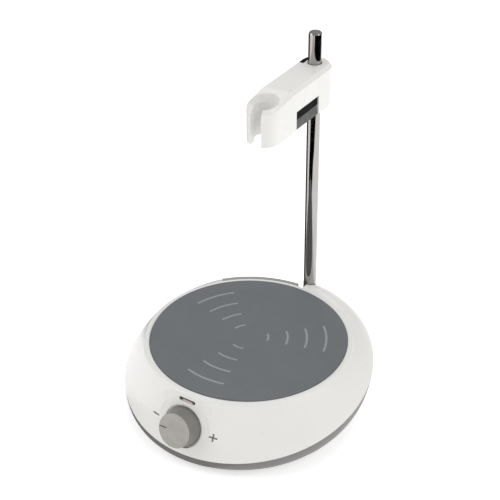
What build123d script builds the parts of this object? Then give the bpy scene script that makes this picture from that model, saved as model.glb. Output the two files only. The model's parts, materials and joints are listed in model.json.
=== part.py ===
"""Circular-top magnetic stirrer with a support rod and a sliding probe holder arm.

Millimetres. The origin is on the work plate's vertical axis at bench level. +Z is up, -Y points to
the operator (the knob side) and +Y to the support rod.

The base is two shells that meet on an inclined circle, low at the front and high at the back. The
work plate is level. A motor under it turns a carrier with two magnets, and the knob turns a
potentiometer. The holder arm swivels on a sleeve that slides along the rod, and a sprung button
pulls a jaw away from the sleeve.
"""

import os
from math import cos, radians, sin

from build123d import *

os.makedirs("parts", exist_ok=True)

# ---------------------------------------------------------------- work plate
PLATE_R = 59.7
PLATE_TOP = 45.0
PLATE_T = 3.0
GASKET_T = 0.8
PLATE_BOTTOM = PLATE_TOP - PLATE_T
LEDGE_TOP = PLATE_BOTTOM - GASKET_T
LEDGE_T = 2.0
LEDGE_R = 47.0
GASKET_R = 54.0
RECESS_R = 59.95

# ---------------------------------------------------------------- shells
# Each section of a shell is a circle: centre y, centre z, tilt in degrees, radius.
WALL = 2.4
LIP = (0.0, 43.0, 0.0, 63.5)
LIP_TOP = 44.2
SHOULDER = (-0.7, 35.35, 6.85, 69.6)
RIM = (-0.7, 25.3, 12.0, 76.4)
BELLY = (-2.3, 15.25, 6.8, 73.9)
BASE = (-9.0, 3.0, 0.0, 63.9)
# The inner sections follow the outer ones about one wall thickness inside.
LEDGE_IN = (0.0, LEDGE_TOP - LEDGE_T, 0.0, 58.6)
SHOULDER_IN = (0.25, 33.75, 6.28, 68.0)
RIM_IN = (RIM[0], RIM[1], RIM[2], RIM[3] - WALL)
BELLY_IN = (-2.3, 15.7, 6.8, 71.4)
FLOOR_IN = (-9.0, 5.5, 0.0, 62.4)
FLOOR_Z = FLOOR_IN[1]
BASE_FILLET = 1.6

# ---------------------------------------------------------------- fasteners of the base
SCREWS = ((-39.5, -39.5), (39.5, -39.5), (-46.5, 21.5), (46.5, 21.5))
SEAM_Z = 12.0
FOOT_T = 3.0
FOOT_R = 6.0

# ---------------------------------------------------------------- drive
BRACKET_Z, BRACKET_T = 30.0, 1.6
MOTOR_R = 14.0

# ---------------------------------------------------------------- support rod
ROD_R = 4.0
ROD_Y = 72.0
ROD_TOP = 216.8
ROD_BOTTOM = 22.5
ROD_HOLE_R = 4.4
BOSS_R = 6.8
BOSS_BOTTOM, BOSS_TOP = 19.0, 32.0
SOCKET_R = 5.6
SOCKET_BOTTOM = 21.0
SET_SCREW_Z = 26.5

# ---------------------------------------------------------------- connector bay
NOTCH_START = 90.0
BAY_START, BAY_END = 94.3, 138.0
BAY_BOTTOM = 15.0
BAY_R = 63.8
PANEL_OUT = 66.4
PANEL_TOP = 43.2
INLET_ANGLE = 107.0
INLET_Z = 27.0
INLET_BACK = 53.5

# ---------------------------------------------------------------- knob and light
KNOB_TILT = 17.0
KNOB_AT = (0.0, -68.65, 24.7)
KNOB_R, KNOB_FACE_R = 12.0, 10.1
KNOB_GAP, KNOB_H = 0.5, 10.3
DISH_R = 13.0
PAD_R, PAD_T = 17.5, 3.0
LIGHT_AT = (0.0, -64.4, 40.25)
LIGHT_W, LIGHT_H = 11.2, 2.2

# ---------------------------------------------------------------- holder arm
ARM_R = 10.0
PROBE_Y = 17.8
ARM_BOTTOM, ARM_TOP = 171.8, 197.8
ARM_BEVEL = 2.0
RAMP_Y, RAMP_DROP = 31.0, 3.8
SLEEVE_IN, SLEEVE_OUT = 4.05, 5.5
SLEEVE_BOTTOM, SLEEVE_TOP = 174.0, 195.4
PROBE_R, LINER_R = 6.0, 7.0
LINER_TOP = 192.8
SLOT_W = 7.4
POCKET_X = 7.3
POCKET_Y0, POCKET_Y1 = 29.5, 65.9
POCKET_TOP = 194.5
COVER_T = 1.8
WINDOW_Y0, WINDOW_Y1 = 36.0, 60.4
WINDOW_TOP = 184.1
LINK_Y = 59.6
JAW_Y0, JAW_Y1 = 67.8, 79.2
JAW_X = -5.85
GAP = 0.35


def leaning(section):
    """Plane of a section: through its centre, leaning down towards the front."""
    tilt = radians(section[2])
    return Plane(origin=(0, section[0], section[1]), x_dir=(1, 0, 0), z_dir=(0, -sin(tilt), cos(tilt)))


def facing_front(point, tilt):
    """Plane at a point, facing the operator and tilted up by an angle."""
    lean = radians(tilt)
    return Plane(origin=point, x_dir=(1, 0, 0), z_dir=(0, -cos(lean), sin(lean)))


def sector(inner, outer, start, end):
    """Flat ring sector about the plate axis, between two radii and two angles."""
    with BuildSketch() as shape:
        with BuildLine():
            far = CenterArc((0, 0), outer, start, end - start)
            near = CenterArc((0, 0), inner, start, end - start)
            Line(near @ 0, far @ 0)
            Line(near @ 1, far @ 1)
        make_face()
    return shape.sketch


def arm_outline(radius):
    """The arm seen from above: a straight-sided bar with two half-round ends."""
    with BuildSketch() as shape:
        with Locations((0, (ROD_Y + PROBE_Y) / 2)):
            SlotCenterToCenter(ROD_Y - PROBE_Y, 2 * radius, rotation=90)
    return shape.sketch


def arm_block():
    """The arm's outer form, with its bevelled top edge and softened bottom edge."""
    with BuildPart() as block:
        with BuildSketch(Plane.XY.offset(ARM_BOTTOM)):
            add(arm_outline(ARM_R))
        extrude(amount=ARM_TOP - ARM_BOTTOM)
        # the top falls gently towards the probe end
        front = PROBE_Y - ARM_R
        with BuildSketch(Plane.YZ.offset(-ARM_R - 1)):
            Polygon((RAMP_Y, ARM_TOP), (RAMP_Y, ARM_TOP + 9), (front - 9, ARM_TOP + 9),
                    (front - 9, ARM_TOP - RAMP_DROP * (RAMP_Y - front + 9) / (RAMP_Y - front)), align=None)
        extrude(amount=2 * ARM_R + 2, mode=Mode.SUBTRACT)
        upper = block.edges().filter_by_position(Axis.Z, ARM_TOP - RAMP_DROP - 1, ARM_TOP + 1, (True, True))
        chamfer(upper.filter_by(Axis.X, reverse=True), ARM_BEVEL)
        fillet(block.edges().group_by(Axis.Z)[0], 0.8)
    return block.part


RIM_PLANE = leaning(RIM)
KNOB_PLANE = facing_front(KNOB_AT, KNOB_TILT)
LIGHT_PLANE = facing_front(LIGHT_AT, KNOB_TILT)
INLET_PLANE = Plane(
    origin=(0, 0, INLET_Z),
    x_dir=(-sin(radians(INLET_ANGLE)), cos(radians(INLET_ANGLE)), 0),
    z_dir=(cos(radians(INLET_ANGLE)), sin(radians(INLET_ANGLE)), 0),
)

# ================================================================ shells
with BuildPart() as upper_housing:
    for section in (RIM, SHOULDER, LIP):
        with BuildSketch(leaning(section)):
            Circle(section[3])
    loft()
    # rounded lip on top of the loft
    with BuildSketch(Plane.XZ):
        with BuildLine():
            edge = RadiusArc((LIP[3], LIP[1]), (LIP[3] - 1.7, LIP_TOP), -2.1)
            Polyline(edge @ 1, (0, LIP_TOP), (0, LIP[1]), edge @ 0)
        make_face()
    revolve(axis=Axis.Z)
    for section in (RIM_IN, SHOULDER_IN, LEDGE_IN):
        with BuildSketch(leaning(section)):
            Circle(section[3])
    loft(mode=Mode.SUBTRACT)
    # pad behind the knob, and the flat dish that the knob sits in
    with BuildSketch(KNOB_PLANE.offset(-PAD_T)):
        Circle(PAD_R)
    extrude(amount=PAD_T)
    split(bisect_by=RIM_PLANE, keep=Keep.TOP)
    with BuildSketch(KNOB_PLANE):
        Circle(DISH_R)
    extrude(amount=12, mode=Mode.SUBTRACT)
    # screw bosses under the ledge
    with BuildSketch(Plane.XY.offset(SEAM_Z)):
        with Locations(*SCREWS):
            Circle(3.8)
    extrude(amount=LEDGE_TOP - SEAM_Z)
    with BuildSketch(Plane.XY.offset(SEAM_Z)):
        with Locations(*SCREWS):
            Circle(1.35)
    extrude(amount=14, mode=Mode.SUBTRACT)
    # opening and recess for the work plate
    with BuildSketch(Plane.XY.offset(LEDGE_TOP - 10)):
        Circle(LEDGE_R)
    extrude(amount=20, mode=Mode.SUBTRACT)
    with BuildSketch(Plane.XY.offset(LEDGE_TOP)):
        Circle(RECESS_R)
    extrude(amount=10, mode=Mode.SUBTRACT)
    # notch behind the lip for the connector bay, and the hole that the rod passes through
    with BuildSketch(Plane.XY.offset(BAY_BOTTOM)):
        add(sector(BAY_R, 90, NOTCH_START, BAY_END))
        with Locations((0, ROD_Y)):
            Circle(ROD_HOLE_R)
    extrude(amount=40, mode=Mode.SUBTRACT)
    # knob shaft hole and light slot
    with BuildSketch(KNOB_PLANE.offset(-PAD_T - 1)):
        Circle(3.5)
    extrude(amount=10, mode=Mode.SUBTRACT)
    with BuildSketch(LIGHT_PLANE.offset(-10)):
        SlotOverall(LIGHT_W, LIGHT_H)
    extrude(amount=16, mode=Mode.SUBTRACT)
upper_housing.part.label = "upper_housing"

with BuildPart() as lower_housing:
    for section in (BASE, BELLY, RIM):
        with BuildSketch(leaning(section)):
            Circle(section[3])
    loft()
    fillet(lower_housing.edges().group_by(Axis.Z)[0], BASE_FILLET)
    for section in (FLOOR_IN, BELLY_IN, RIM_IN):
        with BuildSketch(leaning(section)):
            Circle(section[3])
    loft(mode=Mode.SUBTRACT)
    # taper that carries the rod boss down into the bowl, then the connector bay beside it
    with BuildSketch(Plane.XY.offset(BOSS_BOTTOM)):
        with Locations((0, ROD_Y)):
            Circle(BOSS_R)
    with BuildSketch(Plane.XY.offset(FOOT_T + 3)):
        with Locations((0, ROD_Y - 18)):
            Circle(BOSS_R - 1.5)
    loft()
    with BuildSketch(Plane.XY.offset(BAY_BOTTOM)):
        add(sector(BAY_R, 90, BAY_START, BAY_END))
    extrude(amount=40, mode=Mode.SUBTRACT)
    # boss that holds the rod socket, joined to the bowl by a short web
    with BuildSketch(Plane.XY.offset(BOSS_BOTTOM)):
        with Locations((0, ROD_Y)):
            Circle(BOSS_R)
        with Locations((0, (BAY_R + 0.15 + ROD_Y) / 2)):
            Rectangle(8.6, ROD_Y - BAY_R - 0.15)
    extrude(amount=BOSS_TOP - BOSS_BOTTOM)
    split(bisect_by=RIM_PLANE, keep=Keep.BOTTOM)
    # posts: four for the housing screws, four for the motor bracket, four for the board
    with BuildSketch(Plane.XY.offset(FOOT_T)):
        with Locations(*SCREWS):
            Circle(5)
    extrude(amount=SEAM_Z - FOOT_T)
    with BuildSketch(Plane.XY.offset(FLOOR_Z - 1)):
        with GridLocations(68, 20, 2, 2):
            Circle(3.5)
    extrude(amount=BRACKET_Z + 1 - FLOOR_Z)
    with BuildSketch(Plane.XY.offset(FLOOR_Z - 1)):
        with Locations((0, -40)):
            with GridLocations(52, 24, 2, 2):
                Circle(2.6)
    extrude(amount=13 - FLOOR_Z)
    # screw holes
    with BuildSketch(Plane.XY.offset(FOOT_T)):
        with Locations(*SCREWS):
            Circle(3.2)
    extrude(amount=5, mode=Mode.SUBTRACT)
    with BuildSketch(Plane.XY.offset(FOOT_T)):
        with Locations(*SCREWS):
            Circle(1.7)
    extrude(amount=SEAM_Z, mode=Mode.SUBTRACT)
    with BuildSketch(Plane.XY.offset(30)):
        with GridLocations(68, 20, 2, 2):
            Circle(1.25)
    extrude(amount=-10, mode=Mode.SUBTRACT)
    with BuildSketch(Plane.XY.offset(12)):
        with Locations((0, -40)):
            with GridLocations(52, 24, 2, 2):
                Circle(0.9)
    extrude(amount=-5, mode=Mode.SUBTRACT)
    # socket bore and its side screw hole
    with BuildSketch(Plane.XY.offset(SOCKET_BOTTOM)):
        with Locations((0, ROD_Y)):
            Circle(SOCKET_R)
    extrude(amount=40, mode=Mode.SUBTRACT)
    with BuildSketch(Plane.XZ.offset(-ROD_Y)):
        with Locations((0, SET_SCREW_Z)):
            Circle(1.5)
    extrude(amount=-12, mode=Mode.SUBTRACT)
lower_housing.part.label = "lower_housing"

with BuildPart() as rear_panel:
    with BuildSketch(Plane.XY.offset(BAY_BOTTOM)):
        add(sector(BAY_R, PANEL_OUT, BAY_START, BAY_END))
    extrude(amount=PANEL_TOP - BAY_BOTTOM)
    with BuildSketch(INLET_PLANE.offset(58)):
        Circle(4)
    extrude(amount=15, mode=Mode.SUBTRACT)
rear_panel.part.label = "rear_panel"

with BuildPart() as rubber_feet:
    with BuildSketch(Plane.XY):
        with Locations(*SCREWS):
            Circle(FOOT_R)
    extrude(amount=FOOT_T)
    fillet(rubber_feet.edges().group_by(Axis.Z)[0], 0.8)
rubber_feet.part.label = "rubber_feet"

with BuildPart() as housing_screws:
    with BuildSketch(Plane.XY.offset(5.6)):
        with Locations(*SCREWS):
            Circle(2.9)
    extrude(amount=2.4)
    with BuildSketch(Plane.XY.offset(8)):
        with Locations(*SCREWS):
            Circle(1.35)
    extrude(amount=15)
    with BuildSketch(Plane.XY.offset(5.6)):
        with Locations(*SCREWS):
            Rectangle(3.4, 0.8)
            Rectangle(0.8, 3.4)
    extrude(amount=1.2, mode=Mode.SUBTRACT)
housing_screws.part.label = "housing_screws"

# ================================================================ work plate
with BuildPart() as top_plate:
    with BuildSketch(Plane.XY.offset(PLATE_BOTTOM)):
        Circle(PLATE_R)
    extrude(amount=PLATE_T)
    fillet(top_plate.edges().group_by(Axis.Z)[-1], 0.5)
top_plate.part.label = "top_plate"

with BuildPart() as plate_gasket:
    with BuildSketch(Plane.XY.offset(LEDGE_TOP)):
        Circle(PLATE_R - 0.5)
        Circle(GASKET_R, mode=Mode.SUBTRACT)
    extrude(amount=GASKET_T)
plate_gasket.part.label = "plate_gasket"

# ================================================================ drive
with BuildPart() as motor:
    with BuildSketch(Plane.XY.offset(11)):
        Circle(MOTOR_R)
    extrude(amount=BRACKET_Z - 11)
    fillet(motor.edges().group_by(Axis.Z)[0], 1.5)
    with BuildSketch(Plane.XY.offset(BRACKET_Z)):
        Circle(3.5)
    extrude(amount=2.2)
    with BuildSketch(Plane.XY.offset(14)):
        Circle(1.56)
    extrude(amount=20, mode=Mode.SUBTRACT)
    with BuildSketch(Plane.XY.offset(BRACKET_Z)):
        with Locations((0, 8), (0, -8)):
            Circle(1)
    extrude(amount=-4, mode=Mode.SUBTRACT)
motor.part.label = "motor"

with BuildPart() as motor_bracket:
    with BuildSketch(Plane.XY.offset(BRACKET_Z)):
        RectangleRounded(80, 32, 5)
        Circle(3.6, mode=Mode.SUBTRACT)
        with GridLocations(68, 20, 2, 2):
            Circle(1.6, mode=Mode.SUBTRACT)
        with Locations((0, 8), (0, -8)):
            Circle(1.1, mode=Mode.SUBTRACT)
    extrude(amount=BRACKET_T)
motor_bracket.part.label = "motor_bracket"

with BuildPart() as bracket_screws:
    with BuildSketch(Plane.XY.offset(BRACKET_Z + BRACKET_T)):
        with GridLocations(68, 20, 2, 2):
            Circle(2.7)
    extrude(amount=1.8)
    with BuildSketch(Plane.XY.offset(BRACKET_Z + BRACKET_T)):
        with GridLocations(68, 20, 2, 2):
            Circle(1.25)
    extrude(amount=-9)
    with BuildSketch(Plane.XY.offset(BRACKET_Z + BRACKET_T + 1.8)):
        with GridLocations(68, 20, 2, 2):
            Rectangle(3.4, 0.7)
            Rectangle(0.7, 3.4)
    extrude(amount=-1, mode=Mode.SUBTRACT)
bracket_screws.part.label = "bracket_screws"

with BuildPart() as motor_screws:
    with BuildSketch(Plane.XY.offset(BRACKET_Z + BRACKET_T)):
        with Locations((0, 8), (0, -8)):
            Circle(1.9)
    extrude(amount=1)
    with BuildSketch(Plane.XY.offset(BRACKET_Z + BRACKET_T)):
        with Locations((0, 8), (0, -8)):
            Circle(1)
    extrude(amount=-4.5)
motor_screws.part.label = "motor_screws"

CARRIER_Z, CARRIER_T, CARRIER_R = 33.6, 4.4, 25.0
MAGNET_R, MAGNET_X, MAGNET_H = 6.5, 16.0, 5.0

with BuildPart() as motor_shaft:
    with BuildSketch(Plane.XY.offset(14.5)):
        Circle(1.5)
    extrude(amount=CARRIER_Z + CARRIER_T - 15)
motor_shaft.part.label = "motor_shaft"

with BuildPart() as magnet_carrier:
    with BuildSketch(Plane.XY.offset(CARRIER_Z)):
        Circle(CARRIER_R)
    extrude(amount=CARRIER_T)
    fillet(magnet_carrier.edges().group_by(Axis.Z)[-1], 0.8)
    with BuildSketch(Plane.XY.offset(CARRIER_Z)):
        Circle(1.5)
    extrude(amount=CARRIER_T - 0.5, mode=Mode.SUBTRACT)
    with BuildSketch(Plane.XY.offset(CARRIER_Z + 1.4)):
        with Locations((MAGNET_X, 0), (-MAGNET_X, 0)):
            Circle(MAGNET_R)
    extrude(amount=CARRIER_T, mode=Mode.SUBTRACT)
magnet_carrier.part.label = "magnet_carrier"

with BuildPart() as drive_magnets:
    with BuildSketch(Plane.XY.offset(CARRIER_Z + 1.4)):
        with Locations((MAGNET_X, 0), (-MAGNET_X, 0)):
            Circle(MAGNET_R)
    extrude(amount=MAGNET_H)
    chamfer(drive_magnets.edges().group_by(Axis.Z)[-1], 0.4)
drive_magnets.part.label = "drive_magnets"

# ================================================================ control
with BuildPart() as control_board:
    with BuildSketch(Plane.XY.offset(12)):
        with Locations((0, -40)):
            RectangleRounded(60, 32, 2)
            with GridLocations(52, 24, 2, 2):
                Circle(1.1, mode=Mode.SUBTRACT)
    extrude(amount=1.6)
    with BuildSketch(Plane.XY.offset(13.6)):
        with Locations((-16, -47)):
            Circle(4)
        with Locations((14, -36)):
            Rectangle(9, 7)
        with Locations((-8, -31)):
            Rectangle(7, 5)
    extrude(amount=3.4)
control_board.part.label = "control_board"

with BuildPart() as board_screws:
    with BuildSketch(Plane.XY.offset(13.6)):
        with Locations((0, -40)):
            with GridLocations(52, 24, 2, 2):
                Circle(1.9)
    extrude(amount=1.3)
    with BuildSketch(Plane.XY.offset(13.6)):
        with Locations((0, -40)):
            with GridLocations(52, 24, 2, 2):
                Circle(0.9)
    extrude(amount=-6)
board_screws.part.label = "board_screws"

with BuildPart() as potentiometer:
    with BuildSketch(KNOB_PLANE.offset(-PAD_T)):
        Circle(8)
    extrude(amount=-7)
    with BuildSketch(KNOB_PLANE.offset(-PAD_T)):
        Circle(3.5)
    extrude(amount=PAD_T + 2.1)
    with BuildSketch(KNOB_PLANE.offset(-PAD_T - 6)):
        Circle(3.05)
    extrude(amount=12, mode=Mode.SUBTRACT)
potentiometer.part.label = "potentiometer"

with BuildPart() as pot_nut:
    with BuildSketch(KNOB_PLANE):
        RegularPolygon(5.2, 6)
        Circle(3.5, mode=Mode.SUBTRACT)
    extrude(amount=1.8)
pot_nut.part.label = "pot_nut"

with BuildPart() as pot_shaft:
    with BuildSketch(KNOB_PLANE.offset(-PAD_T - 5.5)):
        Circle(3)
    extrude(amount=PAD_T + 5.5 + 8.5)
pot_shaft.part.label = "pot_shaft"

with BuildPart() as speed_knob:
    with BuildSketch(KNOB_PLANE.offset(KNOB_GAP)):
        Circle(KNOB_R)
    extrude(amount=KNOB_H - KNOB_GAP, taper=9.3)
    fillet(speed_knob.edges().filter_by(GeomType.CIRCLE).sort_by(SortBy.LENGTH)[0], 0.6)
    with BuildSketch(KNOB_PLANE.offset(KNOB_GAP)):
        Circle(9.6)
        Circle(5.2, mode=Mode.SUBTRACT)
    extrude(amount=7, mode=Mode.SUBTRACT)
    with BuildSketch(KNOB_PLANE.offset(KNOB_GAP)):
        Circle(6)
    extrude(amount=2, mode=Mode.SUBTRACT)
    with BuildSketch(KNOB_PLANE.offset(KNOB_GAP)):
        Circle(3)
    extrude(amount=8, mode=Mode.SUBTRACT)
    with BuildSketch(KNOB_PLANE.offset(KNOB_H - 0.5)):
        with Locations((-KNOB_FACE_R + 2.2, 0)):
            Rectangle(5.4, 0.9)
    extrude(amount=1, mode=Mode.SUBTRACT)
speed_knob.part.label = "speed_knob"

with BuildPart() as knob_pointer:
    with BuildSketch(KNOB_PLANE.offset(KNOB_H - 0.5)):
        with Locations((-KNOB_FACE_R + 2.7, 0)):
            Rectangle(4.4, 0.9)
    extrude(amount=0.35)
knob_pointer.part.label = "knob_pointer"

with BuildPart() as led_window:
    with BuildSketch(LIGHT_PLANE.offset(-9.5)):
        SlotOverall(LIGHT_W, LIGHT_H)
    extrude(amount=8.9)
led_window.part.label = "led_window"

with BuildPart() as status_led:
    with BuildSketch(LIGHT_PLANE.offset(-9.5)):
        Rectangle(5, 2)
    extrude(amount=-1.6)
    with BuildSketch(LIGHT_PLANE.offset(-11.1)):
        Rectangle(9, 4)
    extrude(amount=-1)
status_led.part.label = "status_led"

# ================================================================ power inlet and wires
with BuildPart() as dc_inlet:
    with BuildSketch(INLET_PLANE.offset(INLET_BACK)):
        RectangleRounded(11, 11, 1)
    extrude(amount=9.8)
    with BuildSketch(INLET_PLANE.offset(INLET_BACK + 9)):
        Circle(4)
    extrude(amount=PANEL_OUT + 0.1 - INLET_BACK - 9)
    with BuildSketch(INLET_PLANE.offset(INLET_BACK + 3.5)):
        Circle(2.8)
    extrude(amount=12, mode=Mode.SUBTRACT)
dc_inlet.part.label = "dc_inlet"

with BuildPart() as inlet_pin:
    with BuildSketch(INLET_PLANE.offset(INLET_BACK + 3.5)):
        Circle(1)
    extrude(amount=8.6)
inlet_pin.part.label = "inlet_pin"


def wire(points, radius, bend):
    """A round insulated wire along straight runs joined by tangent arcs."""
    with BuildPart() as lead:
        with BuildLine():
            route = FilletPolyline(*points, radius=bend)
        with BuildSketch(Plane(origin=route @ 0, z_dir=route % 0)):
            Circle(radius)
        sweep()
    return lead.part


with BuildPart() as power_lead:
    path = [(-15.0, 48.9, INLET_Z), (-20, 36, 21), (-45, 12, 17), (-45, -18, 16), (-24, -33.5, 15.6)]
    add(wire(path, 1.3, 6))
power_lead.part.label = "power_lead"

with BuildPart() as motor_lead:
    add(wire([(8, -12.8, 22), (8, -19, 22), (8, -26, 15.2), (8, -31, 15.2)], 1.1, 3))
motor_lead.part.label = "motor_lead"

# ================================================================ rod
with BuildPart() as rod_socket:
    with BuildSketch(Plane.XY.offset(SOCKET_BOTTOM)):
        with Locations((0, ROD_Y)):
            Circle(SOCKET_R)
    extrude(amount=BOSS_TOP - SOCKET_BOTTOM)
    with BuildSketch(Plane.XY.offset(ROD_BOTTOM)):
        with Locations((0, ROD_Y)):
            Circle(ROD_R)
    extrude(amount=40, mode=Mode.SUBTRACT)
    with BuildSketch(Plane.XZ.offset(-ROD_Y)):
        with Locations((0, SET_SCREW_Z)):
            Circle(1.5)
    extrude(amount=-12, mode=Mode.SUBTRACT)
rod_socket.part.label = "rod_socket"

with BuildPart() as socket_screw:
    with BuildSketch(Plane.XZ.offset(-ROD_Y - ROD_R)):
        with Locations((0, SET_SCREW_Z)):
            Circle(1.5)
    extrude(amount=-2.5)
socket_screw.part.label = "socket_screw"

with BuildPart() as support_rod:
    with BuildSketch(Plane.XY.offset(ROD_BOTTOM)):
        with Locations((0, ROD_Y)):
            Circle(ROD_R)
    extrude(amount=ROD_TOP - ROD_BOTTOM)
    chamfer(support_rod.edges().group_by(Axis.Z)[-1], 0.6)
support_rod.part.label = "support_rod"

# ================================================================ holder arm
with BuildPart() as rod_sleeve:
    with BuildSketch(Plane.XY.offset(SLEEVE_BOTTOM)):
        with Locations((0, ROD_Y)):
            Circle(SLEEVE_OUT)
            Circle(SLEEVE_IN, mode=Mode.SUBTRACT)
    extrude(amount=SLEEVE_TOP - SLEEVE_BOTTOM)
rod_sleeve.part.label = "rod_sleeve"


def cover_outline(inset):
    """Outline of the arm's bottom cover, which leaves room for the release button."""
    with BuildSketch() as shape:
        with Locations((0, (POCKET_Y0 + ROD_Y) / 2)):
            Rectangle(2 * (POCKET_X - inset), ROD_Y - POCKET_Y0 - 2 * inset)
        with Locations((0, ROD_Y)):
            Circle(POCKET_X - inset)
    return shape.sketch


with BuildPart() as holder_arm:
    add(arm_block())
    # pocket for the button and its spring, with two posts for the cover screws
    with BuildSketch(Plane.XY.offset(ARM_BOTTOM)):
        with Locations((0, (POCKET_Y0 + POCKET_Y1) / 2)):
            Rectangle(2 * POCKET_X, POCKET_Y1 - POCKET_Y0)
        with Locations((0, 32.4), (-4.4, 54.5)):
            Circle(2.2, mode=Mode.SUBTRACT)
    extrude(amount=POCKET_TOP - ARM_BOTTOM, mode=Mode.SUBTRACT)
    with BuildSketch(Plane.XY.offset(ARM_BOTTOM)):
        add(cover_outline(0))
    extrude(amount=COVER_T, mode=Mode.SUBTRACT)
    with BuildSketch(Plane.XY.offset(ARM_BOTTOM)):
        with Locations((0, 32.4), (-4.4, 54.5)):
            Circle(0.9)
    extrude(amount=9, mode=Mode.SUBTRACT)
    # sleeve bore and rod hole
    with BuildSketch(Plane.XY.offset(ARM_BOTTOM)):
        with Locations((0, ROD_Y)):
            Circle(SLEEVE_OUT + 0.05)
    extrude(amount=SLEEVE_TOP + 0.2 - ARM_BOTTOM, mode=Mode.SUBTRACT)
    with BuildSketch(Plane.XY.offset(ARM_BOTTOM)):
        with Locations((0, ROD_Y)):
            Circle(ROD_HOLE_R)
    extrude(amount=60, mode=Mode.SUBTRACT)
    # window for the button in the right wall
    with BuildSketch(Plane.XY.offset(ARM_BOTTOM)):
        with Locations((10, (WINDOW_Y0 + WINDOW_Y1) / 2)):
            Rectangle(8, WINDOW_Y1 - WINDOW_Y0)
    extrude(amount=WINDOW_TOP - ARM_BOTTOM, mode=Mode.SUBTRACT)
    # window for the jaw in the left wall, open at the top beside the rod
    with BuildSketch(Plane.XY.offset(ARM_BOTTOM + COVER_T + 1)):
        with Locations((-9.1, (LINK_Y - GAP + JAW_Y1 + 0.4) / 2)):
            Rectangle(8, JAW_Y1 + 0.4 - LINK_Y + GAP)
    extrude(amount=10, mode=Mode.SUBTRACT)
    with BuildSketch(Plane.XY.offset(ARM_BOTTOM + COVER_T + 1)):
        with Locations((-9.1, (JAW_Y0 + JAW_Y1) / 2)):
            Rectangle(8, JAW_Y1 - JAW_Y0 + 0.8)
    extrude(amount=40, mode=Mode.SUBTRACT)
    # probe bore and the slot that the probe is pushed in through
    with BuildSketch(Plane.XY.offset(ARM_BOTTOM)):
        with Locations((0, PROBE_Y)):
            Circle(LINER_R)
        with Locations((0, PROBE_Y - 7)):
            Rectangle(SLOT_W, 14)
    extrude(amount=40, mode=Mode.SUBTRACT)
    # funnel over the bore, and a small round relief beside it
    with BuildSketch(Plane.XY.offset(LINER_TOP)):
        with Locations((0, PROBE_Y)):
            Circle(LINER_R)
    with BuildSketch(Plane.XY.offset(ARM_TOP + 0.5)):
        with Locations((0, PROBE_Y)):
            Circle(LINER_R + 2)
    loft(mode=Mode.SUBTRACT)
    with BuildSketch(Plane.XY.offset(LINER_TOP - 1.5)):
        with Locations((6.1, PROBE_Y + 1.2)):
            Circle(1.9)
    extrude(amount=9, mode=Mode.SUBTRACT)
holder_arm.part.label = "holder_arm"

with BuildPart() as probe_liner:
    with BuildSketch(Plane.XY.offset(ARM_BOTTOM + 0.5)):
        with Locations((0, PROBE_Y)):
            Circle(LINER_R)
            Circle(PROBE_R, mode=Mode.SUBTRACT)
        with Locations((0, PROBE_Y - 7)):
            Rectangle(SLOT_W, 14, mode=Mode.SUBTRACT)
    extrude(amount=LINER_TOP - ARM_BOTTOM - 0.5)
probe_liner.part.label = "probe_liner"

with BuildPart() as arm_bottom_cover:
    with BuildSketch(Plane.XY.offset(ARM_BOTTOM)):
        add(cover_outline(0.05))
        with Locations((0, ROD_Y)):
            Circle(ROD_HOLE_R, mode=Mode.SUBTRACT)
        with Locations((5, (WINDOW_Y0 + WINDOW_Y1) / 2)):
            Rectangle(8.4, WINDOW_Y1 - WINDOW_Y0, mode=Mode.SUBTRACT)
        with Locations((0, 32.4), (-4.4, 54.5)):
            Circle(0.9, mode=Mode.SUBTRACT)
    extrude(amount=COVER_T)
    with BuildSketch(Plane.XY.offset(ARM_BOTTOM)):
        with Locations((0, 32.4), (-4.4, 54.5)):
            Circle(1.8)
    extrude(amount=0.9, mode=Mode.SUBTRACT)
arm_bottom_cover.part.label = "arm_bottom_cover"

with BuildPart() as cover_screws:
    with BuildSketch(Plane.XY.offset(ARM_BOTTOM + 0.1)):
        with Locations((0, 32.4), (-4.4, 54.5)):
            Circle(1.8)
    extrude(amount=0.8)
    with BuildSketch(Plane.XY.offset(ARM_BOTTOM + 0.5)):
        with Locations((0, 32.4), (-4.4, 54.5)):
            Circle(0.9)
    extrude(amount=7.5)
cover_screws.part.label = "cover_screws"

PAD_X0, PAD_X1 = 3.2, 9.6

with BuildPart() as release_button:
    # finger pad: a lower face that slopes back under a flush upper one
    with BuildSketch(Plane.XZ.offset(-WINDOW_Y0 - GAP)):
        with BuildLine():
            Polyline(
                (PAD_X0, ARM_BOTTOM + 0.5),
                (PAD_X1, ARM_BOTTOM + 0.5),
                (PAD_X1, ARM_BOTTOM + 1.2),
                (PAD_X1 - 0.9, ARM_BOTTOM + 6.2),
                (PAD_X1 - 0.3, ARM_BOTTOM + 6.6),
                (PAD_X1 - 0.3, WINDOW_TOP - GAP),
                (PAD_X0, WINDOW_TOP - GAP),
                close=True,
            )
        make_face()
    extrude(amount=-(WINDOW_Y1 - WINDOW_Y0 - 2 * GAP))
    # link that reaches across the arm in front of the sleeve
    with BuildSketch(Plane.XY.offset(ARM_BOTTOM + COVER_T + 1.4)):
        with Locations(((JAW_X + 6.6) / 2, LINK_Y + 2.8)):
            Rectangle(6.6 - JAW_X, 5.6)
    extrude(amount=WINDOW_TOP - GAP - ARM_BOTTOM - COVER_T - 1.4)
release_button.part.label = "release_button"

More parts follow.
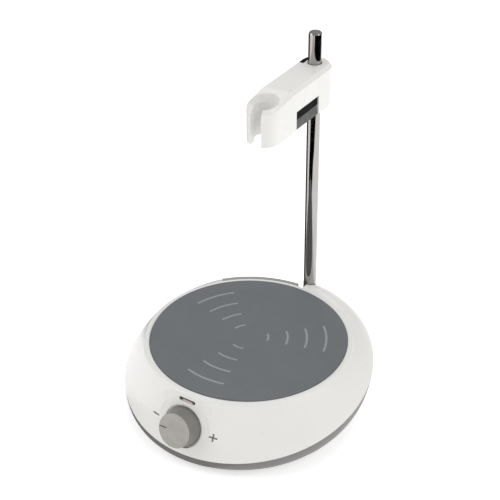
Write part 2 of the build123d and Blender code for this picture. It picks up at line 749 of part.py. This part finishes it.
with BuildPart() as clamp_jaw:
    add(arm_block())
    with BuildSketch(Plane.XY.offset(ARM_BOTTOM + COVER_T + 1.4)):
        with Locations((JAW_X - 5, (LINK_Y + JAW_Y1) / 2)):
            Rectangle(10, JAW_Y1 - LINK_Y)
    extrude(amount=40, mode=Mode.INTERSECT)
    with BuildSketch(Plane.XY.offset(WINDOW_TOP - GAP)):
        with Locations((JAW_X - 5, (56 + JAW_Y0) / 2)):
            Rectangle(14, JAW_Y0 - 56)
    extrude(amount=40, mode=Mode.SUBTRACT)
clamp_jaw.part.label = "clamp_jaw"

SPRING_R, SPRING_WIRE = 2.4, 0.35
SPRING_X0 = -POCKET_X + SPRING_WIRE
SPRING_L = PAD_X0 - SPRING_WIRE - SPRING_X0

with BuildPart() as button_spring:
    with BuildLine():
        coil = Helix(
            pitch=SPRING_L / 5, height=SPRING_L, radius=SPRING_R,
            center=(SPRING_X0, 45, 179.5), direction=(1, 0, 0),
        )
    with BuildSketch(Plane(origin=coil @ 0, z_dir=coil % 0)):
        Circle(SPRING_WIRE)
    sweep(is_frenet=True)
button_spring.part.label = "button_spring"

# ================================================================ files
PIECES = (
    upper_housing, lower_housing, rear_panel, rubber_feet, housing_screws,
    top_plate, plate_gasket,
    motor, motor_bracket, bracket_screws, motor_screws, motor_shaft, magnet_carrier, drive_magnets,
    control_board, board_screws, potentiometer, pot_nut, pot_shaft, speed_knob, knob_pointer,
    led_window, status_led, dc_inlet, inlet_pin, power_lead, motor_lead,
    rod_socket, socket_screw, support_rod,
    rod_sleeve, holder_arm, probe_liner, arm_bottom_cover, cover_screws,
    release_button, clamp_jaw, button_spring,
)
for piece in PIECES:
    export_step(piece.part, f"parts/{piece.part.label}.step")
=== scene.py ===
import json
import math

import bmesh
import bpy
from mathutils import Matrix, Vector
from mathutils.bvhtree import BVHTree


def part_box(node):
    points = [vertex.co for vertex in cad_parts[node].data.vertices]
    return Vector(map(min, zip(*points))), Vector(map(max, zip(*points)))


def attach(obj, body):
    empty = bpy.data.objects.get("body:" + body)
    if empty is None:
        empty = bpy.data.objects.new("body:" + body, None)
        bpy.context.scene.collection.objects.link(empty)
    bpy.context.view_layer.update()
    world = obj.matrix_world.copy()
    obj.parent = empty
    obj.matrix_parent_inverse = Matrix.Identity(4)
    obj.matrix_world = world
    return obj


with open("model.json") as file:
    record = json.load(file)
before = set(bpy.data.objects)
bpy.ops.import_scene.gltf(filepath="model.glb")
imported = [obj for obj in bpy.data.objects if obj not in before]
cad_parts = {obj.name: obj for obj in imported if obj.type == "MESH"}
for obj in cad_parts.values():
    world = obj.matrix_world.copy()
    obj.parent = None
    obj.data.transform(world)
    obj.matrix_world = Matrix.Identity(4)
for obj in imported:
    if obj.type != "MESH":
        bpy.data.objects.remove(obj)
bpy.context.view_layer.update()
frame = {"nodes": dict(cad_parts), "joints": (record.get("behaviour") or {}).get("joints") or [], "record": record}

MM = 0.001
NODES = frame["nodes"]
PIVOT = {joint["name"]: joint for joint in frame["joints"]}

# The knob's axis and foot come from the joint that it turns on.
KNOB_AXIS = Vector(PIVOT["speed_turn"]["axis"]).normalized()
KNOB_FOOT = Vector(PIVOT["speed_turn"]["pos_m"])
PLATE_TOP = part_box("top_plate")[1][2]
ROD_LOW, ROD_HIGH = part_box("support_rod")


# ---------------------------------------------------------------- materials
class Nodes:
    """A new node material, with short helpers for what every finish here needs."""

    def __init__(self, name):
        self.mat = bpy.data.materials.new(name)
        self.mat.use_nodes = True
        self.tree = self.mat.node_tree
        self.shader = self.tree.nodes["Principled BSDF"]
        self.place = self.tree.nodes.new("ShaderNodeTexCoord").outputs["Object"]

    def new(self, kind, **values):
        node = self.tree.nodes.new(kind)
        for key, value in values.items():
            setattr(node, key, value)
        return node

    def link(self, source, target):
        self.tree.links.new(source, target)

    def stretched(self, scale):
        """Object coordinates scaled differently along each axis, for brushed or drawn metal."""
        mapping = self.new("ShaderNodeMapping")
        mapping.inputs["Scale"].default_value = scale
        self.link(self.place, mapping.inputs["Vector"])
        return mapping.outputs["Vector"]

    def noise(self, scale, detail=3.0, vector=None, roughness=0.55):
        node = self.new("ShaderNodeTexNoise")
        node.inputs["Scale"].default_value = scale
        node.inputs["Detail"].default_value = detail
        node.inputs["Roughness"].default_value = roughness
        self.link(vector or self.place, node.inputs["Vector"])
        return node.outputs["Fac"]

    def span(self, value, low, high, start=0.3, stop=0.7):
        """A value between start and stop, mapped smoothly to low..high."""
        node = self.new("ShaderNodeMapRange", interpolation_type="SMOOTHSTEP")
        for name, number in (("From Min", start), ("From Max", stop), ("To Min", low), ("To Max", high)):
            node.inputs[name].default_value = number
        self.link(value, node.inputs["Value"])
        return node.outputs["Result"]

    def blend(self, factor, first, second):
        """Colour mix; first and second are colours or sockets."""
        node = self.new("ShaderNodeMix", data_type="RGBA")
        self.link(factor, node.inputs["Factor"])
        for socket, value in ((node.inputs[6], first), (node.inputs[7], second)):
            if hasattr(value, "links"):
                self.link(value, socket)
            else:
                socket.default_value = (*value, 1.0)
        return node.outputs[2]

    def math(self, operation, first, second):
        node = self.new("ShaderNodeMath", operation=operation)
        for socket, value in ((node.inputs[0], first), (node.inputs[1], second)):
            if hasattr(value, "links"):
                self.link(value, socket)
            else:
                socket.default_value = value
        return node.outputs[0]

    def along(self, axis, origin=(0, 0, 0)):
        """Distance of a point along an axis, from an origin, in metres."""
        shift = self.new("ShaderNodeVectorMath", operation="SUBTRACT")
        self.link(self.place, shift.inputs[0])
        shift.inputs[1].default_value = tuple(origin)
        dot = self.new("ShaderNodeVectorMath", operation="DOT_PRODUCT")
        self.link(shift.outputs["Vector"], dot.inputs[0])
        dot.inputs[1].default_value = tuple(axis)
        return dot.outputs["Value"]

    def bumps(self, *layers):
        """Stacked bump from (height, strength, distance in metres) layers."""
        normal = None
        for height, strength, distance in layers:
            node = self.new("ShaderNodeBump")
            node.inputs["Strength"].default_value = strength
            node.inputs["Distance"].default_value = distance
            self.link(height, node.inputs["Height"])
            if normal is not None:
                self.link(normal, node.inputs["Normal"])
            normal = node.outputs["Normal"]
        self.link(normal, self.shader.inputs["Normal"])

    def colour(self, socket):
        self.link(socket, self.shader.inputs["Base Color"])

    def rough(self, socket):
        self.link(socket, self.shader.inputs["Roughness"])

    def fixed(self, **values):
        for name, value in values.items():
            self.shader.inputs[name.replace("_", " ")].default_value = value


def shade(colour, factor):
    return tuple(min(1.0, channel * factor) for channel in colour)


def plastic(name, colour, rough, grain=2600, grain_depth=0.02, mottle=0.03, coat=0.0, ior=1.46):
    """Moulded plastic: faint mottling, uneven gloss, and a fine grain."""
    m = Nodes(name)
    cloud = m.noise(34, 2)
    speck = m.noise(900, 2)
    base = m.blend(m.span(cloud, 0, 1), shade(colour, 1 - mottle), shade(colour, 1 + mottle))
    m.colour(m.blend(m.span(speck, 0, 0.25), base, shade(colour, 1 - 2.2 * mottle)))
    m.rough(m.span(m.noise(60, 3), rough * 0.90, rough * 1.12))
    m.bumps((m.noise(grain, 2), 0.35, grain_depth * MM))
    m.fixed(IOR=ior, Coat_Weight=coat, Coat_Roughness=0.08)
    return m


def metal(name, colour, rough, stretch=(400, 400, 6000), depth=0.006, tarnish=0.10):
    """Bare metal with drawn or turned lines, and slightly uneven polish."""
    m = Nodes(name)
    lines = m.noise(1, 3, m.stretched(stretch))
    stain = m.noise(120, 4)
    m.colour(m.blend(m.span(stain, 0, 1), shade(colour, 1 - tarnish), colour))
    m.rough(m.math("MULTIPLY", m.span(lines, 0.8, 1.25), m.span(stain, rough * 0.85, rough * 1.2)))
    m.bumps((lines, 0.3, depth * MM))
    m.fixed(Metallic=1.0)
    return m


def rubber(name, colour, rough=0.78):
    m = plastic(name, colour, rough, grain=1500, grain_depth=0.05, mottle=0.10)
    dust = m.noise(420, 5)
    m.colour(m.blend(m.span(dust, 0, 0.35, 0.5, 0.8), colour, shade(colour, 2.2)))
    return m


def knob_plastic():
    """Grey knob: lighter satin cap on a darker skirt, with a fine turned pattern on the cap."""
    cap, skirt = (0.400, 0.382, 0.360), (0.180, 0.176, 0.166)
    m = Nodes("knob_grey")
    height = m.along(KNOB_AXIS, KNOB_FOOT)
    on_cap = m.span(height, 0, 1, 9.75 * MM, 9.95 * MM)
    cloud = m.span(m.noise(190, 3), 0.94, 1.05)
    mixed = m.blend(on_cap, skirt, cap)
    tint = m.new("ShaderNodeMix", data_type="RGBA", blend_type="MULTIPLY")
    tint.inputs["Factor"].default_value = 1.0
    m.link(mixed, tint.inputs[6])
    m.link(cloud, tint.inputs[7])
    m.colour(tint.outputs[2])
    m.rough(m.math("ADD", m.span(m.noise(500, 4), 0.34, 0.44), m.math("MULTIPLY", on_cap, 0.06)))
    m.bumps((m.noise(3200, 2), 0.3, 0.02 * MM))
    return m


def button_plastic():
    """Black push piece; its lower finger ledge is painted dark grey as a painted highlight, and the black above it
    is deepened by painted shade.
    """
    low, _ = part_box("release_button")
    m = Nodes("black_plastic")
    # The lower ledge is painted dark grey for the light falling on its slanted face; the part above is black
    # plastic deepened by painted shade of its recess.
    ledge = m.span(m.along((0, 0, 1), low), 1, 0, 5.5 * MM, 5.9 * MM)
    cloud = m.noise(240, 4)
    painted_lit_grey = m.blend(m.span(cloud, 0, 1), (0.120, 0.120, 0.120), (0.155, 0.155, 0.155))
    black_with_painted_shade = m.blend(m.span(cloud, 0, 1), (0.002, 0.002, 0.002), (0.005, 0.005, 0.005))
    m.colour(m.blend(ledge, black_with_painted_shade, painted_lit_grey))
    m.rough(m.span(m.noise(380, 3), 0.36, 0.50))
    m.bumps((m.noise(2400, 2), 0.3, 0.025 * MM))
    m.fixed(Specular_IOR_Level=0.03)
    return m


def light_pipe(face):
    """Smoked light window: a painted pink highlight along the lower middle of it."""
    m = Nodes("light_window")
    side = m.math("ABSOLUTE", m.along((1, 0, 0), face), 0.0)
    rise = m.along((0, 0, 1), face)
    along_middle = m.span(side, 1, 0, 2.4 * MM, 4.4 * MM)
    below_middle = m.span(rise, 1, 0, -0.30 * MM, 0.15 * MM)
    middle = m.math("MULTIPLY", along_middle, below_middle)
    cloud = m.noise(700, 3)
    # The lower middle of the window is painted pale pink as a painted highlight.
    painted_highlight_pink = m.blend(m.span(cloud, 0, 1), (0.56, 0.42, 0.44), (0.72, 0.58, 0.58))
    m.colour(m.blend(middle, (0.035, 0.027, 0.028), painted_highlight_pink))
    m.rough(m.span(cloud, 0.22, 0.32))
    m.bumps((m.noise(1600, 2), 0.2, 0.02 * MM))
    return m


def board_green():
    """Solder mask over copper runs."""
    m = Nodes("circuit_board")
    runs = m.new("ShaderNodeTexBrick")
    runs.inputs["Scale"].default_value = 260
    runs.inputs["Mortar Size"].default_value = 0.035
    m.link(m.place, runs.inputs["Vector"])
    m.colour(m.blend(runs.outputs["Fac"], (0.012, 0.11, 0.045), (0.03, 0.20, 0.08)))
    m.rough(m.span(m.noise(600, 3), 0.28, 0.42))
    m.bumps((runs.outputs["Fac"], 0.5, 0.03 * MM))
    return m


def plate_paint():
    """Grey powder-like coat of the work plate: fine pebble, low gloss, slight clouding."""
    m = Nodes("plate_coating")
    cloud = m.noise(22, 3)
    speck = m.noise(1300, 3)
    base = m.blend(m.span(cloud, 0, 1), (0.126, 0.136, 0.145), (0.137, 0.147, 0.157))
    m.colour(m.blend(m.span(speck, 0, 0.35), base, (0.157, 0.167, 0.176)))
    m.rough(m.span(m.noise(240, 4), 0.40, 0.50))
    m.bumps((m.noise(2100, 2), 0.45, 0.02 * MM), (m.noise(60, 2), 0.2, 0.02 * MM))
    return m


def chrome(name, colour, rough):
    """Polished plate: hairline polish marks round the bar and a few faint smears."""
    m = Nodes(name)
    hair = m.noise(1, 2, m.stretched((60, 60, 9000)))
    smear = m.noise(70, 5)
    m.colour(m.blend(m.span(smear, 0, 1), shade(colour, 0.95), colour))
    m.rough(m.math("ADD", m.span(smear, rough * 0.6, rough * 1.5), m.span(hair, 0, 0.02)))
    m.bumps((hair, 0.12, 0.002 * MM))
    m.fixed(Metallic=1.0)
    return m


WHITE = (0.810, 0.803, 0.782)
window_low, window_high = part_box("led_window")
WINDOW_FACE = Vector((0, window_low[1], window_high[2] - 1.05 * MM))

FINISH = {
    "housing_white": plastic("housing_white", WHITE, 0.30, grain_depth=0.004, mottle=0.010, coat=0.12),
    "housing_grey": plastic("housing_grey", (0.185, 0.178, 0.170), 0.42, grain=1800, grain_depth=0.04),
    "panel_grey": plastic("panel_grey", (0.340, 0.325, 0.310), 0.45, grain=1800, grain_depth=0.04),
    "plate_coating": plate_paint(),
    "knob_grey": knob_plastic(),
    "pointer_grey": plastic("pointer_grey", (0.105, 0.101, 0.097), 0.50, mottle=0.08),
    "light_window": light_pipe(WINDOW_FACE),
    "black_plastic": button_plastic(),
    "rubber": rubber("rubber", (0.018, 0.018, 0.018)),
    "liner": plastic("liner", (0.790, 0.785, 0.770), 0.50, grain=1500, grain_depth=0.03),
    "chrome_rod": chrome("chrome_rod", (0.42, 0.405, 0.392), 0.06),
    "screw_steel": metal("screw_steel", (0.56, 0.56, 0.57), 0.30, (900, 900, 900)),
    "plated_steel": metal("plated_steel", (0.60, 0.60, 0.60), 0.34, (300, 5000, 300)),
    "brass": metal("brass", (0.60, 0.43, 0.17), 0.30),
    "magnet_nickel": chrome("magnet_nickel", (0.66, 0.64, 0.60), 0.12),
    "socket_aluminium": metal("socket_aluminium", (0.66, 0.66, 0.68), 0.32),
    "sleeve_plastic": plastic("sleeve_plastic", (0.60, 0.58, 0.52), 0.42),
    "carrier_plastic": plastic("carrier_plastic", (0.020, 0.020, 0.022), 0.46, mottle=0.12),
    "circuit_board": board_green(),
    "led_body": plastic("led_body", (0.75, 0.70, 0.62), 0.20, mottle=0.05),
    "lead_black": plastic("lead_black", (0.012, 0.012, 0.012), 0.38, mottle=0.15),
    "lead_red": plastic("lead_red", (0.33, 0.010, 0.008), 0.36, mottle=0.10),
}

for part in frame["record"]["subparts"]:
    node = NODES[part["node"]]
    node.data.materials.clear()
    node.data.materials.append(FINISH[part["material_slot"]].mat)


# ---------------------------------------------------------------- printed and inset details
def add_piece(name, mesh, finish, body="base"):
    """A finished Blender piece: its own material, and its body."""
    piece = bpy.data.objects.new(name, mesh)
    bpy.context.scene.collection.objects.link(piece)
    mesh.materials.append(finish.mat)
    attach(piece, body)
    return piece


def extruded(name, loops, place, height):
    """A mesh of flat outlines in a plane, each raised by a height along the plane's normal.

    loops are lists of (x, y) in metres, and place is the plane's matrix."""
    work = bmesh.new()
    for loop in loops:
        low = [work.verts.new(place @ Vector((x, y, 0))) for x, y in loop]
        high = [work.verts.new(place @ Vector((x, y, height))) for x, y in loop]
        work.faces.new(list(reversed(low)))
        work.faces.new(high)
        for i in range(len(loop)):
            j = (i + 1) % len(loop)
            work.faces.new((low[i], low[j], high[j], high[i]))
    bmesh.ops.recalc_face_normals(work, faces=work.faces)
    mesh = bpy.data.meshes.new(name)
    work.to_mesh(mesh)
    work.free()
    return mesh


def arc_stroke(radius, middle, half, width, steps=40, cap_steps=8):
    """Outline of a stroke of even width along an arc, with round ends. Angles in radians."""
    points = []
    for i in range(steps + 1):
        a = middle - half + 2 * half * i / steps
        points.append((math.cos(a) * (radius + width / 2), math.sin(a) * (radius + width / 2)))
    for end, sign in ((middle + half, 1), (middle - half, -1)):
        cx, cy = math.cos(end) * radius, math.sin(end) * radius
        if sign < 0:
            for i in range(steps + 1):
                a = middle + half - 2 * half * i / steps
                points.append((math.cos(a) * (radius - width / 2), math.sin(a) * (radius - width / 2)))
        for i in range(1, cap_steps):
            turn = math.pi * i / cap_steps
            a = end + turn if sign > 0 else end + math.pi + turn
            points.append((cx + math.cos(a) * width / 2, cy + math.sin(a) * width / 2))
    return points


ARC_INK = plastic("arc_ink", (0.290, 0.305, 0.313), 0.50, grain=3000, mottle=0.05)
MARK_INK = plastic("mark_ink", (0.170, 0.160, 0.150), 0.50, grain=3000, mottle=0.06)

# Three groups of four arcs are printed on the work plate.
ARC_RADII = (11.9 * MM, 23.6 * MM, 35.2 * MM, 46.9 * MM)
ARC_WIDTH = 1.35 * MM
ARC_HALF = math.radians(14.9)
INK = 0.04 * MM
for count, direction in enumerate((-90, 30, 150)):
    outlines = [arc_stroke(r, math.radians(direction), ARC_HALF, ARC_WIDTH) for r in ARC_RADII]
    on_plate = Matrix.Translation((0, 0, PLATE_TOP - INK / 4))
    add_piece(f"plate_arcs_{count}", extruded(f"plate_arcs_{count}", outlines, on_plate, INK),
              ARC_INK)


def wrapped(name, boxes, place, target, thickness, step=0.25 * MM, drop=20 * MM):
    """Printed bars laid on a curved shell.

    Each bar is a fine grid that is dropped on the target along the plane's normal."""
    tree = BVHTree.FromObject(target, bpy.context.evaluated_depsgraph_get())
    normal = (place.to_3x3() @ Vector((0, 0, 1))).normalized()
    work = bmesh.new()
    for cx, cy, w, h in boxes:
        across, up = max(2, round(w / step)), max(2, round(h / step))
        layers = []
        for lift in (-thickness * 0.3, thickness):
            rows = []
            for j in range(up + 1):
                row = []
                for i in range(across + 1):
                    x, y = cx - w / 2 + w * i / across, cy - h / 2 + h * j / up
                    start = place @ Vector((x, y, drop))
                    hit = tree.ray_cast(start, -normal)[0]
                    row.append(work.verts.new(hit + normal * lift))
                rows.append(row)
            layers.append(rows)
        low, high = layers
        for j in range(up):
            for i in range(across):
                work.faces.new((high[j][i], high[j][i + 1], high[j + 1][i + 1], high[j + 1][i]))
                work.faces.new((low[j][i], low[j + 1][i], low[j + 1][i + 1], low[j][i + 1]))
        rim = [(0, i) for i in range(across)] + [(j, across) for j in range(up)]
        rim += [(up, i) for i in range(across, 0, -1)] + [(j, 0) for j in range(up, 0, -1)]
        for k, (j, i) in enumerate(rim):
            jj, ii = rim[(k + 1) % len(rim)]
            work.faces.new((low[j][i], low[jj][ii], high[jj][ii], high[j][i]))
    bmesh.ops.recalc_face_normals(work, faces=work.faces)
    mesh = bpy.data.meshes.new(name)
    work.to_mesh(mesh)
    work.free()
    return mesh


def facing(point, axis):
    """Matrix of a plane through a point, its normal along axis and its x along +X."""
    x = Vector((1, 0, 0))
    x = (x - axis * x.dot(axis)).normalized()
    y = axis.cross(x)
    turn = Matrix((x, y, axis)).transposed().to_4x4()
    return Matrix.Translation(point) @ turn


KNOB_PLANE = facing(KNOB_FOOT, KNOB_AXIS)
MARK_X, MARK_Y = 20.0 * MM, -0.2 * MM
MARK_LONG, MARK_WIDE = 5.0 * MM, 0.95 * MM
shell = NODES["upper_housing"]
minus = [(-MARK_X, MARK_Y, MARK_LONG, MARK_WIDE)]
arm_of_plus = (MARK_LONG - MARK_WIDE) / 2
plus = [
    (MARK_X, MARK_Y, MARK_LONG, MARK_WIDE),
    (MARK_X, MARK_Y + (MARK_WIDE + arm_of_plus) / 2, MARK_WIDE, arm_of_plus),
    (MARK_X, MARK_Y - (MARK_WIDE + arm_of_plus) / 2, MARK_WIDE, arm_of_plus),
]
add_piece("minus_mark", wrapped("minus_mark", minus, KNOB_PLANE, shell, INK), MARK_INK)
add_piece("plus_mark", wrapped("plus_mark", plus, KNOB_PLANE, shell, INK), MARK_INK)


# ---------------------------------------------------------------- stage
def stage_material(name, colour, rough=0.9, glow=0.0):
    m = Nodes(name)
    m.colour(m.blend(m.span(m.noise(3, 2), 0, 1), shade(colour, 0.995), colour))
    m.fixed(Roughness=rough, Specular_IOR_Level=0.0)
    if glow:
        m.fixed(Emission_Color=(1, 1, 1, 1), Emission_Strength=glow)
    return m.mat


def flat(name, corners, material):
    mesh = bpy.data.meshes.new(name)
    mesh.from_pydata([tuple(c) for c in corners], [], [tuple(range(len(corners)))])
    mesh.materials.append(material)
    sheet = bpy.data.objects.new(name, mesh)
    bpy.context.scene.collection.objects.link(sheet)
    return sheet


FLOOR = 60.0          # half width in metres, so that its edge is far off in low views
flat("floor", [(-FLOOR, -FLOOR, 0), (FLOOR, -FLOOR, 0), (FLOOR, FLOOR, 0), (-FLOOR, FLOOR, 0)],
     stage_material("floor_paper", (0.93, 0.93, 0.93), glow=0.5))

# Low flags on the bench, seen only in reflections, give the rod its dark core and its soft left edge.
ROD_AXIS = Vector(((ROD_LOW[0] + ROD_HIGH[0]) / 2, (ROD_LOW[1] + ROD_HIGH[1]) / 2, 0))
CARD_LIFT = 1 * MM


def rod_card(name, sides, colour):
    """A card round the rod's foot; sides are (reach, first angle, last angle) from near to far."""
    rim = [(reach, last) for reach, _, last in sides]
    rim += [(reach, first) for reach, first, _ in reversed(sides)]
    points = []
    for reach, angle in rim:
        a = math.radians(angle)
        points.append(ROD_AXIS + Vector((math.cos(a) * reach, math.sin(a) * reach, CARD_LIFT)))
    card = flat(name, points, stage_material(name, colour))
    card.visible_camera = card.visible_diffuse = card.visible_shadow = card.visible_transmission = False


rod_card("dark_flag", ((0.14, -125, -90), (0.18, -122, -62), (0.23, -120, -52), (0.33, -110, -20),
                       (0.41, -72, 8), (0.47, -70, 61), (1.8, -70, 61)), (0.004, 0.004, 0.004))
rod_card("brown_flag", ((0.03, 124, 204), (1.8, 124, 204)), (0.105, 0.094, 0.086))


def softbox(name, place, target, size, watts, colour=(1, 1, 1)):
    lamp = bpy.data.lights.new(name, "AREA")
    lamp.shape = "RECTANGLE"
    lamp.size, lamp.size_y = size
    lamp.energy = watts
    lamp.color = colour
    holder = bpy.data.objects.new(name, lamp)
    bpy.context.scene.collection.objects.link(holder)
    holder.location = place
    holder.rotation_euler = (Vector(target) - Vector(place)).to_track_quat("-Z", "Y").to_euler()
    return holder


CENTRE = (0, 0, 0.06)
softbox("key_left", (-1.15, -0.75, 1.05), CENTRE, (1.0, 1.2), 7.5)
softbox("fill_right", (1.25, 0.15, 1.00), CENTRE, (0.9, 1.2), 6.5)
softbox("front_low", (0.55, -1.70, 0.55), CENTRE, (1.4, 0.7), 3.2)
softbox("top_back", (-0.1, 0.75, 1.70), CENTRE, (1.6, 1.2), 10.0)

world = bpy.data.worlds.new("studio")
bpy.context.scene.world = world
world.use_nodes = True
world.node_tree.nodes["Background"].inputs["Color"].default_value = (1, 1, 1, 1)
world.node_tree.nodes["Background"].inputs["Strength"].default_value = 0.42
bpy.context.scene.view_settings.view_transform = "Standard"
bpy.context.scene.view_settings.look = "None"

# ---------------------------------------------------------------- camera
EYE = Vector((0.35693, -0.54097, 0.53736))
LOOK = Vector((-0.4577, 0.6966, -0.5525)).normalized()
ROLL = -0.0074
right = LOOK.cross(Vector((0, 0, 1))).normalized()
right = (right + ROLL * right.cross(LOOK)).normalized()
up = right.cross(LOOK).normalized()
lens = bpy.data.cameras.new("camera")
lens.sensor_width = 36.0
lens.lens = 96.86
lens.clip_start, lens.clip_end = 0.01, 200.0
camera = bpy.data.objects.new("camera", lens)
bpy.context.scene.collection.objects.link(camera)
camera.matrix_world = Matrix.Translation(EYE) @ Matrix((right, up, -LOOK)).transposed().to_4x4()
bpy.context.scene.camera = camera
